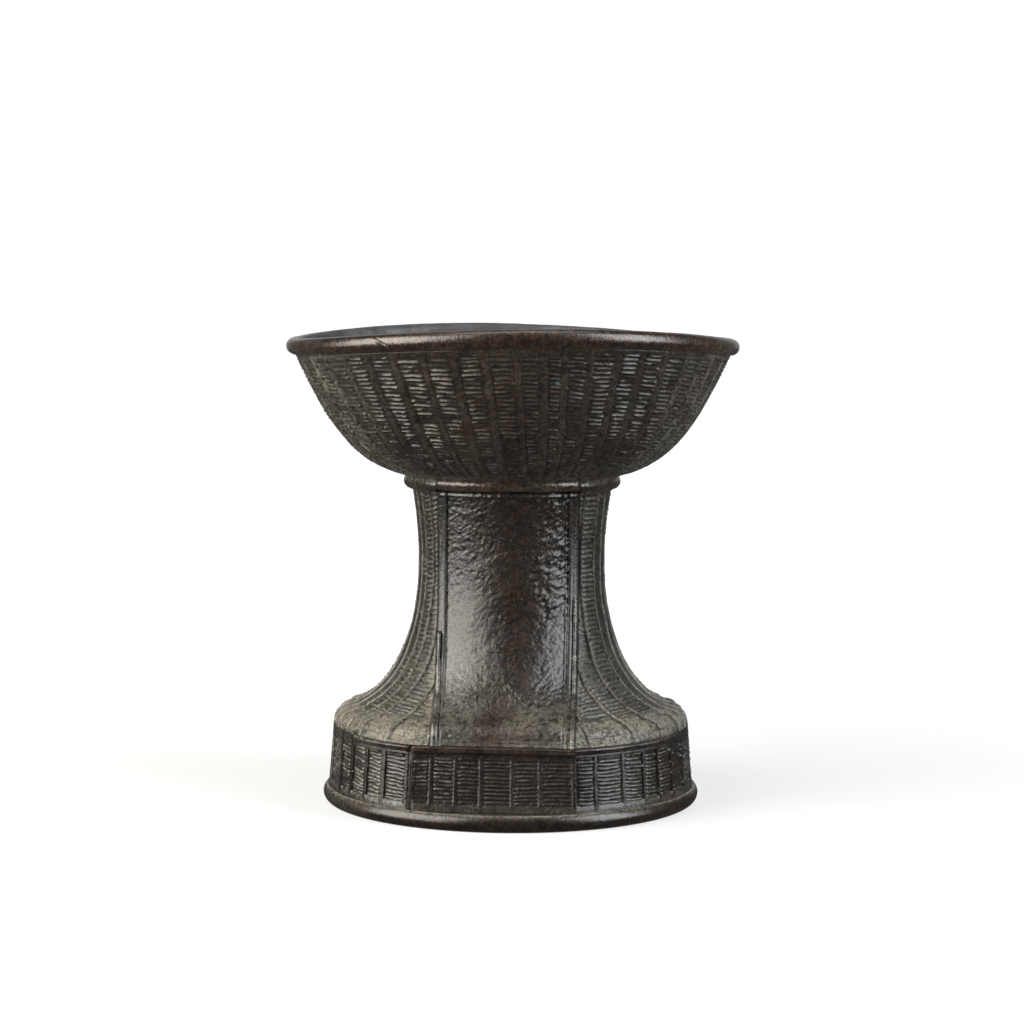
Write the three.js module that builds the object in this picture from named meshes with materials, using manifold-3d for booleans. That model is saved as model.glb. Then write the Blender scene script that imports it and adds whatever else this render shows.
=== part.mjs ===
// A footed bronze dish of the deng kind: an open bowl on a waisted stem and a drum foot, all worked
// to look like split-bamboo basketwork, with a plain framed tablet down the front of the stem.
// Millimetres, +Z up. The origin is the centre of the base, and the tablet faces -Y.

import * as THREE from "three";
import { mergeVertices } from "three/addons/utils/BufferGeometryUtils.js";
import Module from "manifold-3d";

const wasm = await Module();
wasm.setup();

const degrees = THREE.MathUtils.degToRad;

// Clearance between touching pieces, and the thickness of each sheet
const seam = 0.3;
const bowlWall = 2.6;
const stemWall = 2.6;
const drumWall = 2.8;
const neckRingWall = 2.4;

// Dish: the lip's crest and reach, its half-round bead, and the outline of the bowl under it
const lipHeight = 204.3;
const lipRadius = 98.3;
const lipBead = 3.9;
const rimBelowLip = 4.7;
const rimInsideLip = 2.6;
const bowlSeatHeight = 139.1;
const bowlBelly = 56.5;
const bowlShoulder = 70;
const bowlShoulderRise = 0.5;

// The rim has warped to a shallow saddle, high at front and back
const warp = 2.8;
const warpTurn = degrees(13.5);
const warpAboveSeat = 6.2;

// Stem, from the neck under the bowl to the rounded shoulder that rests on the drum
const neckRadius = 43.9;
const waistDraw = 10.2;
const waistDrop = 54.5;
const flareRadius = 71.2;
const flareRise = 8.2;
const flarePull = 22.2;
const flareSlope = 0.27;
const neckRingDepth = 18;

// Collar: a bead round the back and sides of the neck, and a flatter band over the tablet
const collarBead = 4;
const collarRise = 0.7;
const collarInset = 0.4;
const bandProud = 1.7;
const bandDrop = 1.6;

// Tablet, with an outer strip and a fine inner ridge as its frame
const tabletWidth = 60.5;
const tabletProud = 0.8;
const frameStrip = 2.2;
const frameGroove = 1.2;
const frameRidge = 1;
const frameRise = 0.7;
const frameSlope = 0.25;

// Drum foot: round, with one flat facet under the tablet
const drumTop = 33.8;
const drumTopRadius = 77.6;
const drumFootRadius = 79.7;
const drumEdge = 3;
const drumEdgeProud = 0.6;
const facetInset = 7.8;
const facetTurn = degrees(-3.2);
const facetFade = 26;
const cornerSolder = 1.8;

// Foot ring: a bead that bears on the ground and a flange that carries the drum
const footRadius = 82.1;
const footBead = 3.9;
const footLedge = 6.4;
const footFlange = 2.4;
const footOpening = 66;
const footHeel = 2.2;

// Basketwork: plain splints stand above the sunken fields between them
const splintRise = 0.7;
const splintBevel = 0.35;
const fieldRamp = 0.8;
const bowlFields = 44;
const bowlSplint = 3.6;
const bowlTwist = degrees(9);
const bowlFieldBelowRim = 3.9;
const bowlFieldAboveSeat = 4.7;
const stemFields = 34;
const stemSplint = 1.3;
const stemFieldBelowFlare = 0.4;
const drumFields = 32;
const facetFields = 6;
const drumSplint = 2.2;
const drumFieldAboveLedge = 3.7;
const drumFieldBelowTop = 4.4;

// Steps round the smooth turned work and round a bead
const turnSteps = 48;
const beadSteps = 6;

const bronze = (color, roughness) =>
  new THREE.MeshStandardMaterial({ color, roughness, metalness: 0.85 });
const bowlBronze = bronze(0x40342c, 0.5);
const lipBronze = bronze(0x4a382e, 0.4);
const stemBronze = bronze(0x45403a, 0.6);
const tabletBronze = bronze(0x44382f, 0.45);
const drumBronze = bronze(0x453c34, 0.55);
const footBronze = bronze(0x4b4038, 0.4);
const solderMetal = bronze(0x4a4a4c, 0.5);

// Solids and meshes

function solidFrom(geometry) {
  const bare = geometry.clone().deleteAttribute("normal").deleteAttribute("uv");
  const merged = mergeVertices(bare, 1e-3);
  const corners = merged.index.array;
  const triVerts = [];
  for (let i = 0; i < corners.length; i += 3) {
    const [a, b, c] = corners.slice(i, i + 3);
    if (a !== b && b !== c && c !== a) triVerts.push(a, b, c);
  }
  return new wasm.Manifold(
    new wasm.Mesh({
      numProp: 3,
      vertProperties: merged.attributes.position.array,
      triVerts: new Uint32Array(triVerts),
    }),
  );
}

function meshOf(name, solid, material) {
  const { vertProperties, triVerts } = solid.getMesh();
  const geometry = new THREE.BufferGeometry();
  geometry.setAttribute("position", new THREE.BufferAttribute(vertProperties, 3));
  geometry.setIndex(new THREE.BufferAttribute(triVerts, 1));
  const faceted = geometry.toNonIndexed();
  faceted.computeVertexNormals();
  const mesh = new THREE.Mesh(faceted, material);
  mesh.name = name;
  return mesh;
}

// The skin between rings of equally many points, listed from the foot up and each anticlockwise
// seen from above.
function ringFaces(rows, count) {
  const faces = [];
  for (let row = 0; row + 1 < rows; row++)
    for (let i = 0; i < count; i++) {
      const [here, next] = [row * count + i, row * count + ((i + 1) % count)];
      faces.push(here, next, next + count, here, next + count, here + count);
    }
  return faces;
}

function geometryOf(points, faces) {
  return new THREE.BufferGeometry().setFromPoints(points).setIndex(faces);
}

// A body of rings with a point on the axis to close each end
function ringBody(rings, footHeight, topHeight) {
  const count = rings[0].length;
  const last = (rings.length - 1) * count;
  const foot = rings.length * count;
  const faces = ringFaces(rings.length, count);
  for (let i = 0; i < count; i++) {
    const next = (i + 1) % count;
    faces.push(foot, next, i, foot + 1, last + i, last + next);
  }
  const ends = [new THREE.Vector3(0, 0, footHeight), new THREE.Vector3(0, 0, topHeight)];
  return geometryOf([...rings.flat(), ...ends], faces);
}

// A curved plate between an outer and an inner sheet of points, both listed from the foot up
// and from the left edge to the right.
function plateBody(outer, inner) {
  const across = outer[0].length;
  const count = 2 * across;
  const last = (outer.length - 1) * count;
  const rings = outer.map((row, i) => [...row, ...[...inner[i]].reverse()]);
  const faces = ringFaces(rings.length, count);
  for (let i = 0; i + 1 < across; i++) {
    const [far, near] = [count - 1 - i, count - 2 - i];
    faces.push(i, far, near, i, near, i + 1);
    faces.push(last + i, last + i + 1, last + near, last + i, last + near, last + far);
  }
  return geometryOf(rings.flat(), faces);
}

// A turned body of (radius, height) points, anticlockwise with the axis on their left
function turned(points) {
  return new THREE.LatheGeometry(points, turnSteps).rotateX(Math.PI / 2);
}

function block(x0, x1, y0, y1, z0, z1) {
  const box = new THREE.BoxGeometry(x1 - x0, y1 - y0, z1 - z0);
  return solidFrom(box.translate((x0 + x1) / 2, (y0 + y1) / 2, (z0 + z1) / 2));
}

// An upright slab of space that runs from the axis out in one direction
function slab(angle, width) {
  const box = new THREE.BoxGeometry(width, lipHeight, lipHeight).translate(0, -lipHeight / 2, 0);
  return solidFrom(box.rotateZ(angle));
}

// Everything between two upright planes through the axis that are less than half a turn apart,
// drawn back from each by half a seam.
function sector(from, to) {
  const [reach, height] = [2 * lipRadius, 2 * lipHeight];
  const middle = (from + to) / 2;
  const half = (to - from) / 2;
  const shift = seam / 2 / Math.sin(half);
  const corner = (angle, length) => [length * Math.sin(angle), -length * Math.cos(angle)];
  const shape = new THREE.Shape(
    [[0, 0], corner(from, reach), corner(middle, reach / Math.cos(half)), corner(to, reach)].map(
      ([x, y]) => new THREE.Vector2(x, y).add(v2(...corner(middle, shift))),
    ),
  );
  const options = { depth: height, bevelEnabled: false };
  return solidFrom(new THREE.ExtrudeGeometry(shape, options).translate(0, 0, -height / 2));
}

// Outlines, as (radius, height)

function v2(radius, height) {
  return new THREE.Vector2(radius, height);
}

const rimRadius = lipRadius - rimInsideLip;
const rimHeight = lipHeight - rimBelowLip;
const flareHeight = drumTop + flareRise;
const bowlOutline = new THREE.CubicBezierCurve(
  v2(0, bowlSeatHeight),
  v2(bowlBelly, bowlSeatHeight),
  v2(bowlShoulder, bowlSeatHeight + bowlShoulderRise),
  v2(rimRadius, rimHeight),
);

const stemOutline = new THREE.CurvePath();
stemOutline.add(
  new THREE.QuadraticBezierCurve(
    v2(drumTopRadius, drumTop + seam),
    v2(drumTopRadius, flareHeight - flareSlope * (drumTopRadius - flareRadius)),
    v2(flareRadius, flareHeight),
  ),
);
stemOutline.add(
  new THREE.CubicBezierCurve(
    v2(flareRadius, flareHeight),
    v2(flareRadius - flarePull, flareHeight + flareSlope * flarePull),
    v2(neckRadius - waistDraw, bowlSeatHeight - waistDrop),
    v2(neckRadius, bowlSeatHeight),
  ),
);

// The point at a stop on a climbing curve, moved outwards along the curve's normal
function offsetPoint(curve, stop, outwards) {
  const tangent = curve.getTangent(stop);
  return curve.getPoint(stop).add(v2(tangent.y, -tangent.x).multiplyScalar(outwards));
}

const offsetOutline = (curve, stops, outwards) =>
  stops.map((stop) => offsetPoint(curve, stop, outwards));

// The stop where a climbing curve passes a height
function stopAt(curve, height) {
  let [low, high] = [0, 1];
  for (let i = 0; i < 40; i++) {
    const middle = (low + high) / 2;
    if (curve.getPoint(middle).y < height) low = middle;
    else high = middle;
  }
  return low;
}

const spread = (from, to, count) =>
  Array.from({ length: count }, (_, i) => from + ((to - from) * i) / (count - 1));

// Just above the collar: the pieces of the neck run up to here and are trimmed to the bowl.
const neckTrim = bowlSeatHeight + collarRise + collarBead + 2 * seam;

// Plan of the stem and the drum: round, with the front facet, which fades out up the flare

const onCircle = (angle, radius, z) =>
  new THREE.Vector3(radius * Math.sin(angle), -radius * Math.cos(angle), z);

function insetAt(z) {
  return facetInset * (1 - THREE.MathUtils.smoothstep(z, drumTop, drumTop + facetFade));
}

function onPlan(angle, radius, z) {
  const flat = (radius - insetAt(z)) / Math.cos(angle - facetTurn);
  return onCircle(angle, flat > 0 ? Math.min(radius, flat) : radius, z);
}

const facetHalf = Math.acos(1 - facetInset / drumTopRadius);
const leftCorner = facetTurn - facetHalf;
const rightCorner = facetTurn + facetHalf;
const backSeam = Math.PI;

// A smooth body of the plan's shape through (radius, height) points listed from the foot up
function planBody(outline) {
  const angles = [...spread(0, 2 * Math.PI, turnSteps + 1).slice(0, -1), rightCorner, leftCorner]
    .map((angle) => (angle + 2 * Math.PI) % (2 * Math.PI))
    .sort((a, b) => a - b);
  const rings = outline.map((p) => angles.map((angle) => onPlan(angle, p.x, p.y)));
  return ringBody(rings, outline[0].y, outline[outline.length - 1].y);
}

// Basketwork: a ring goes up over each splint and down into the field beside it

function fieldRing(fields, bevelAngle, place) {
  return fields.flatMap(([from, to]) => {
    const slope = Math.min(bevelAngle, (to - from) / 4);
    return [place(from, 0), place(from + slope, 1), place(to - slope, 1), place(to, 0)];
  });
}

function evenFields(from, to, count, splintAngle) {
  return spread(from, to, count + 1)
    .slice(0, -1)
    .map((start) => [start + splintAngle / 2, start + (to - from) / count - splintAngle / 2]);
}

// Dish

function warped(geometry) {
  const places = geometry.attributes.position;
  const start = bowlSeatHeight + warpAboveSeat;
  for (let i = 0; i < places.count; i++) {
    const [x, y, z] = [places.getX(i), places.getY(i), places.getZ(i)];
    const climb = Math.max(0, (z - start) / (lipHeight - start));
    places.setZ(i, z + warp * climb * Math.cos(2 * (Math.atan2(x, -y) - warpTurn)));
  }
  return geometry;
}

function bowlRing(stop, depth) {
  const { x: radius } = bowlOutline.getPoint(stop);
  const turn = bowlTwist * (1 - stop);
  const splint = Math.min(bowlSplint / radius, Math.PI / bowlFields);
  const fields = evenFields(turn, turn + 2 * Math.PI, bowlFields, splint);
  return fieldRing(fields, splintBevel / radius, (angle, sunk) => {
    const p = offsetPoint(bowlOutline, stop, -depth * sunk);
    return onCircle(angle, p.x, p.y);
  });
}

// The space that the bowl fills below the rim, grown by a clearance
function bowlShadow(clearance) {
  const outline = offsetOutline(bowlOutline, spread(0, 1, 21), clearance);
  return solidFrom(warped(turned([...outline, v2(0, rimHeight + clearance)])));
}

function makeBowlWall() {
  const foot = stopAt(bowlOutline, bowlSeatHeight + bowlFieldAboveSeat);
  const top = stopAt(bowlOutline, rimHeight - bowlFieldBelowRim);
  const ramp = fieldRamp / bowlOutline.getLength();
  const rings = [
    bowlRing(foot / 2, 0),
    bowlRing(foot - ramp, 0),
    ...spread(foot, top, 5).map((stop) => bowlRing(stop, splintRise)),
    bowlRing(top + ramp, 0),
    bowlRing(1, 0),
  ];
  const outer = solidFrom(warped(ringBody(rings, bowlSeatHeight, rimHeight)));
  const inside = offsetOutline(bowlOutline, spread(0, 1, 7), -bowlWall);
  const mouth = inside[inside.length - 1];
  const above = 2 * lipHeight;
  const cavity = solidFrom(warped(turned([...inside, v2(mouth.x, above), v2(0, above)])));
  return outer.subtract(cavity);
}

// The bead is rebated underneath, and the edge of the bowl stands in the rebate.
function makeBowlLip() {
  const centre = v2(lipRadius - lipBead, lipHeight - lipBead);
  const rebate = rimHeight + seam;
  const skirt = offsetPoint(bowlOutline, stopAt(bowlOutline, lipHeight - 2 * lipBead), seam);
  const ceiling = offsetPoint(bowlOutline, 1, seam).x + seam;
  const from = -Math.acos((skirt.x - centre.x) / lipBead);
  const to = Math.PI + Math.asin((centre.y - rebate) / lipBead);
  const bead = spread(from, to, beadSteps + 2).map((angle) =>
    v2(lipBead * Math.cos(angle), lipBead * Math.sin(angle)).add(centre),
  );
  const section = [...bead, v2(ceiling, rebate), bead[0]];
  return solidFrom(warped(turned(section)));
}

// Stem

// Stops up the outline, closer together where it bends most
const stemStops = [0, 0.04, 0.08, 0.16, 0.26, 0.4, 0.58, 0.79, 1];

function stemRing(stop, depth) {
  const { x: radius } = stemOutline.getPoint(stop);
  const fields = evenFields(0, 2 * Math.PI, stemFields, stemSplint / radius);
  return fieldRing(fields, splintBevel / radius, (angle, sunk) => {
    const p = offsetPoint(stemOutline, stop, -depth * sunk);
    return onPlan(angle, p.x, p.y);
  });
}

// The smooth space inside a skin of the stem: its outline offset, run up to the neck's trim
function stemShadow(outwards) {
  const outline = offsetOutline(stemOutline, stemStops.slice(1), outwards);
  const foot = v2(drumTopRadius + outwards, drumTop - drumWall);
  const neck = outline[outline.length - 1];
  return planBody([foot, v2(foot.x, drumTop + seam), ...outline, v2(neck.x, neckTrim + stemWall)]);
}

function makeStemShell() {
  const foot = stopAt(stemOutline, flareHeight - stemFieldBelowFlare);
  const ramp = fieldRamp / stemOutline.getLength();
  const neck = stemRing(1, splintRise).map((p) => p.clone().setZ(neckTrim));
  const rings = [
    ...stemStops.filter((stop) => stop < foot - ramp).map((stop) => stemRing(stop, 0)),
    stemRing(foot - ramp, 0),
    stemRing(foot, splintRise),
    ...stemStops.filter((stop) => stop > foot + ramp).map((stop) => stemRing(stop, splintRise)),
    neck,
  ];
  return solidFrom(ringBody(rings, drumTop + seam, neckTrim))
    .subtract(solidFrom(stemShadow(-stemWall)))
    .subtract(bowlShadow(seam));
}

const far = 2 * lipHeight;
const slotHalf = tabletWidth / 2 + seam;

// The two wrapped walls meet at the back seam and stop at the sides of the tablet.
function makeStemWall(shell, side) {
  const [from, to] = side > 0 ? [seam / 2, far] : [-far, -seam / 2];
  return shell
    .intersect(block(from, to, -far, far, 0, far))
    .subtract(block(-slotHalf, slotHalf, -far, 0, 0, far));
}

const bandFoot = bowlSeatHeight - bandDrop;

// Tablet: columns across it and rows up it, each a stop of the frame's outline

function tabletPoint(x, stop, outwards) {
  const p = offsetPoint(stemOutline, stop, outwards);
  const round = Math.sqrt(Math.max(p.x * p.x - x * x, 0));
  const flat = (p.x - insetAt(p.y) - x * Math.sin(facetTurn)) / Math.cos(facetTurn);
  return new THREE.Vector3(x, -Math.min(round, flat), p.y);
}

function makeTablet() {
  const half = tabletWidth / 2;
  const ridge = half - frameStrip - frameGroove;
  const side = [
    { x: half, rise: 1 },
    { x: half - frameStrip, rise: 1 },
    { x: half - frameStrip - frameSlope, rise: 0 },
    { x: ridge + frameSlope, rise: 0 },
    { x: ridge, rise: 1 },
    { x: ridge - frameRidge, rise: 1 },
    ...spread(ridge - frameRidge - frameSlope, 0, 4).map((x) => ({ x, rise: 0, field: true })),
  ];
  const columns = [...side.map((c) => ({ ...c, x: -c.x })), ...side.slice(0, -1).reverse()];
  const frameRows = (foot) => {
    const heights = [foot - frameSlope, foot, foot + frameRidge, foot + frameRidge + frameSlope];
    return heights.map((z, i) => ({ stop: stopAt(stemOutline, z), frame: i === 1 || i === 2 }));
  };
  const footRows = frameRows(drumTop + frameStrip / 2);
  const headRows = frameRows(bandFoot - seam - frameRidge - frameSlope);
  headRows[3].bare = true;
  const between = stemStops.filter((s) => s > footRows[3].stop && s < headRows[0].stop);
  const rows = [
    { stop: 0 },
    ...footRows,
    ...between.map((stop) => ({ stop })),
    ...headRows,
    { stop: 1, bare: true },
  ];
  const lift = (column, row) => {
    if (row.bare) return 0;
    return frameRise * (column.rise || (column.field && row.frame ? 1 : 0));
  };
  const sheet = (outwards) =>
    rows.map((row) => columns.map((c) => tabletPoint(c.x, row.stop, outwards(c, row))));
  const outer = sheet((c, row) => tabletProud + lift(c, row));
  const inner = sheet(() => -2 * stemWall);
  const raised = (row) => row.map((p) => p.clone().setZ(neckTrim));
  outer.push(raised(outer[outer.length - 1]));
  inner.push(raised(inner[inner.length - 1]));
  const level = block(-far, far, -far, far, drumTop + seam, far);
  return solidFrom(plateBody(outer, inner))
    .intersect(level)
    .subtract(solidFrom(stemShadow(-stemWall)))
    .subtract(bowlShadow(seam));
}

// Neck

function makeCollarBead() {
  const centre = v2(neckRadius - collarInset, bowlSeatHeight + collarRise);
  const circle = spread(0, 2 * Math.PI, 2 * beadSteps).map((angle) =>
    v2(collarBead * Math.cos(angle), collarBead * Math.sin(angle)).add(centre),
  );
  return solidFrom(turned(circle))
    .subtract(solidFrom(stemShadow(seam)))
    .subtract(bowlShadow(seam))
    .subtract(block(-slotHalf, slotHalf, -far, 0, 0, far));
}

function makeCollarBand() {
  const inner = neckRadius;
  const outer = neckRadius + tabletProud + seam + bandProud;
  const edge = bandProud / 3;
  const section = [
    v2(inner, bandFoot),
    v2(outer - edge, bandFoot),
    v2(outer, bandFoot + edge),
    v2(outer, bandFoot + bandProud),
    v2(outer - edge / 2, bandFoot + bandProud + edge),
    v2(outer + edge / 2, bandFoot + bandProud + 3 * edge),
    v2(outer, neckTrim),
    v2(inner, neckTrim),
    v2(inner, bandFoot),
  ];
  const half = tabletWidth / 2;
  return solidFrom(turned(section))
    .intersect(block(-half, half, -far, 0, 0, far))
    .subtract(solidFrom(stemShadow(tabletProud + seam)))
    .subtract(bowlShadow(seam));
}

// A sleeve soldered under the bowl, which the stem's walls close round
function makeNeckRing() {
  const foot = stopAt(stemOutline, bowlSeatHeight - neckRingDepth);
  const outside = offsetOutline(stemOutline, [foot, 1], -stemWall - seam);
  const inside = outside.map((p) => v2(p.x - neckRingWall, p.y)).reverse();
  const [outerTop, innerTop] = [outside[outside.length - 1], inside[0]];
  const section = [
    ...outside,
    v2(outerTop.x, neckTrim),
    v2(innerTop.x, neckTrim),
    ...inside,
    outside[0],
  ];
  return solidFrom(turned(section)).subtract(bowlShadow(seam));
}

// Drum

const drumFoot = footLedge + seam;

function drumRadiusAt(z) {
  return THREE.MathUtils.mapLinear(z, drumFoot, drumTop, drumFootRadius, drumTopRadius);
}

// Fields evenly round the walls, and evenly along the flat facet
function drumFieldList(radius) {
  const splint = drumSplint / radius;
  const flat = radius - facetInset;
  const reach = flat * Math.tan(facetHalf);
  const stops = spread(-reach, reach, facetFields + 1);
  const front = stops.slice(0, -1).map((s, i) => {
    const [from, to] = [s + drumSplint / 2, stops[i + 1] - drumSplint / 2];
    return [facetTurn + Math.atan(from / flat), facetTurn + Math.atan(to / flat)];
  });
  return [...front, ...evenFields(rightCorner, leftCorner + 2 * Math.PI, drumFields, splint)];
}

function drumRing(z, proud, depth) {
  const radius = drumRadiusAt(z);
  const fields = drumFieldList(drumTopRadius);
  const corners = [leftCorner, rightCorner].map((angle) => onPlan(angle, radius + proud, z));
  const place = (angle, sunk) => onPlan(angle, radius + proud - depth * sunk, z);
  const ring = fieldRing(fields, splintBevel / radius, place);
  const facetPoints = 4 * facetFields;
  return [corners[0], ...ring.slice(0, facetPoints), corners[1], ...ring.slice(facetPoints)];
}

function makeDrumShell() {
  const edgeFoot = drumTop - drumEdge;
  const fieldFoot = footLedge + drumFieldAboveLedge;
  const fieldTop = drumTop - drumFieldBelowTop;
  const rings = [
    drumRing(drumFoot, 0, 0),
    drumRing(fieldFoot - splintBevel, 0, 0),
    drumRing(fieldFoot, 0, splintRise),
    drumRing(fieldTop, 0, splintRise),
    drumRing(fieldTop + splintBevel, 0, 0),
    drumRing(edgeFoot + drumEdge / 3, drumEdgeProud, 0),
    drumRing(drumTop - drumEdge / 4, drumEdgeProud, 0),
    drumRing(drumTop, -drumEdgeProud / 2, 0),
  ];
  const inside = [drumFoot - drumWall, drumTop, drumTop + seam].map((z) =>
    v2(drumRadiusAt(z) - drumWall, z),
  );
  return solidFrom(ringBody(rings, drumFoot, drumTop)).subtract(solidFrom(planBody(inside)));
}

// The left front corner has opened and is filled with solder between the ends of the walls.
function makeDrumWall(shell, from, to) {
  const filled = slab(leftCorner, cornerSolder + 2 * seam);
  return shell.intersect(sector(from, to)).subtract(filled);
}

// Foot ring

function makeFootRing() {
  const heel = Math.acos(footHeel / 2 / footBead);
  const centre = v2(footRadius - footBead, footBead * Math.sin(heel));
  const wallClear = drumFootRadius + seam;
  const crest = Math.acos((wallClear - centre.x) / footBead);
  const bead = spread(-heel, crest, beadSteps).map((angle) =>
    v2(footBead * Math.cos(angle), footBead * Math.sin(angle)).add(centre),
  );
  const underFlange = footLedge - footFlange;
  const inner = centre.x - footHeel / 2;
  const section = [
    ...bead,
    v2(wallClear, footLedge),
    v2(footOpening, footLedge),
    v2(footOpening, underFlange),
    v2(inner - seam, underFlange),
    v2(inner, 0),
    bead[0],
  ];
  return solidFrom(turned(section));
}

// Assembly

const stemShell = makeStemShell();
const drumShell = makeDrumShell();

const dish = new THREE.Group();
dish.add(
  meshOf("bowl_wall", makeBowlWall(), bowlBronze),
  meshOf("bowl_lip", makeBowlLip(), lipBronze),
);

const neck = new THREE.Group();
neck.add(
  meshOf("neck_ring", makeNeckRing(), stemBronze),
  meshOf("collar_bead", makeCollarBead(), lipBronze),
  meshOf("collar_band", makeCollarBand(), lipBronze),
);

const stem = new THREE.Group();
stem.add(
  meshOf("front_tablet", makeTablet(), tabletBronze),
  meshOf("stem_wall_left", makeStemWall(stemShell, -1), stemBronze),
  meshOf("stem_wall_right", makeStemWall(stemShell, 1), stemBronze),
);

const foot = new THREE.Group();
foot.add(
  meshOf("drum_front", makeDrumWall(drumShell, leftCorner, rightCorner), drumBronze),
  meshOf("drum_left", makeDrumWall(drumShell, backSeam - 2 * Math.PI, leftCorner), drumBronze),
  meshOf("drum_right", makeDrumWall(drumShell, rightCorner, backSeam), drumBronze),
  meshOf("corner_solder", drumShell.intersect(slab(leftCorner, cornerSolder)), solderMetal),
  meshOf("foot_ring", makeFootRing(), footBronze),
);

const vessel = new THREE.Group();
vessel.add(dish, neck, stem, foot);

export default vessel;
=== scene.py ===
import itertools
import math
from dataclasses import dataclass

import bmesh
import bpy
import numpy as np
from mathutils import Matrix, Vector


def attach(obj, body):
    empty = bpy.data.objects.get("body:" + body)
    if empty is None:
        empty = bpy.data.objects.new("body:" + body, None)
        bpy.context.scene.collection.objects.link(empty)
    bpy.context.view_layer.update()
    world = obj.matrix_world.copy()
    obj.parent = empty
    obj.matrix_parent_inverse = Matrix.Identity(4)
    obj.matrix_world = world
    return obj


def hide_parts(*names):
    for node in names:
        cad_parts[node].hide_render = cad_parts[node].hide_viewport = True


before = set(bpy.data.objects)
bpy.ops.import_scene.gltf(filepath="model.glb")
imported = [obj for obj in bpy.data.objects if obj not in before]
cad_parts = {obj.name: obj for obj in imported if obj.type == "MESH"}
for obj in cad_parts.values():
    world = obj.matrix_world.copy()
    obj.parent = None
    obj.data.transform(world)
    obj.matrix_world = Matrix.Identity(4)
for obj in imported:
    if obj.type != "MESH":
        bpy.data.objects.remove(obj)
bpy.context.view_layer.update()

# The frame is in metres, and the sizes of this script are in millimetres.
MM = 0.001
TURN = 2 * math.pi

# Sizes of the walls and of the clearance between pieces, which is less where a seam is shut
SEAM = 0.3
CLOSED = 0.02
BOWL_WALL = 2.6
STEM_WALL = 2.6
DRUM_WALL = 2.8

# Dish: the lip's bead, and the bowl's outline under it
LIP_HEIGHT = 204.3
LIP_RADIUS = 98.3
LIP_BEAD = 3.9
RIM_HEIGHT = LIP_HEIGHT - 4.7
RIM_RADIUS = LIP_RADIUS - 2.6
BOWL_SEAT = 139.1
BOWL_CURVE = [(0, BOWL_SEAT), (56.5, BOWL_SEAT), (70.0, BOWL_SEAT + 0.5), (RIM_RADIUS, RIM_HEIGHT)]
WARP = 2.8
WARP_TURN = math.radians(13.5)
WARP_START = BOWL_SEAT + 6.2

# Stem: the rounded shoulder on the drum, and the flare up to the neck
DRUM_TOP = 33.8
DRUM_TOP_RADIUS = 77.6
FLARE_RADIUS = 71.2
FLARE_HEIGHT = DRUM_TOP + 8.2
FLARE_SLOPE = 0.27
FLARE_PULL = 22.2
NECK_RADIUS = 43.9
SHOULDER_RISE = FLARE_HEIGHT - FLARE_SLOPE * (DRUM_TOP_RADIUS - FLARE_RADIUS)
SHOULDER_CURVE = [
    (DRUM_TOP_RADIUS, DRUM_TOP + SEAM),
    (DRUM_TOP_RADIUS, SHOULDER_RISE),
    (FLARE_RADIUS, FLARE_HEIGHT),
]
FLARE_CURVE = [
    (FLARE_RADIUS, FLARE_HEIGHT),
    (FLARE_RADIUS - FLARE_PULL, FLARE_HEIGHT + FLARE_SLOPE * FLARE_PULL),
    (NECK_RADIUS - 10.2, BOWL_SEAT - 54.5),
    (NECK_RADIUS, BOWL_SEAT),
]

# Drum, with its flat facet, and the foot ring
DRUM_FOOT = 6.7
DRUM_FOOT_RADIUS = 79.7
FACET_INSET = 7.8
FACET_TURN = math.radians(-3.2)
FACET_FADE = 26.0
FACET_HALF = math.acos(1 - FACET_INSET / DRUM_TOP_RADIUS)
LEFT_CORNER = FACET_TURN - FACET_HALF
RIGHT_CORNER = FACET_TURN + FACET_HALF
CORNER_SOLDER = 1.8
FOOT_RADIUS = 82.1
FOOT_BEAD = 3.9
FOOT_LEDGE = 6.4
FOOT_FLANGE = 2.4
FOOT_OPENING = 66.0
FOOT_HEEL = 2.2

# Collar and tablet
COLLAR_BEAD = 4.0
COLLAR_CENTRE = (NECK_RADIUS - 0.4, BOWL_SEAT + 0.7)
BAND_FOOT = BOWL_SEAT - 1.6
TABLET_HALF = 60.5 / 2
TABLET_PROUD = 0.8
SLOT_HALF = TABLET_HALF + 0.12


# Outlines, noise and the plan of the vessel


def join(*arrays, axis=0):
    return np.concatenate(arrays, axis)


def bezier(points, count=200):
    """(radius, height) rows along a Bezier curve of any degree."""
    t = np.linspace(0, 1, count)[:, None]
    rows = [np.array(p, float) + 0 * t for p in points]
    while len(rows) > 1:
        rows = [(1 - t) * a + t * b for a, b in zip(rows, rows[1:])]
    return rows[0]


def smooth(low, high, value):
    """0 below low, 1 above high and an even S between them."""
    t = np.clip((value - low) / (high - low), 0, 1)
    return t * t * (3 - 2 * t)


def bell(value, middle, width):
    """1 at middle, falling away on both sides within about twice the width."""
    return np.exp(-(((value - middle) / width) ** 2))


class Outline:
    """A climbing (radius, height) curve, measured by the millimetres run along it."""

    def __init__(self, points):
        steps = np.linalg.norm(np.diff(points, axis=0), axis=1)
        self.points = points[join([True], steps > 1e-9)]
        steps = np.linalg.norm(np.diff(self.points, axis=0), axis=1)
        self.run = join([0], np.cumsum(steps))
        slope = np.gradient(self.points, self.run, axis=0)
        slope /= np.linalg.norm(slope, axis=1)[:, None]
        self.normals = np.stack([slope[:, 1], -slope[:, 0]], 1)
        self.length = self.run[-1]

    def at(self, run, outwards=0.0):
        """Radius and height at each run, moved along the curve's normal."""
        radius, height = (np.interp(run, self.run, self.points[:, i]) for i in (0, 1))
        out, up = (np.interp(run, self.run, self.normals[:, i]) for i in (0, 1))
        return radius + outwards * out, height + outwards * up

    def run_at(self, height):
        return float(np.interp(height, self.points[:, 1], self.run))


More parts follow.
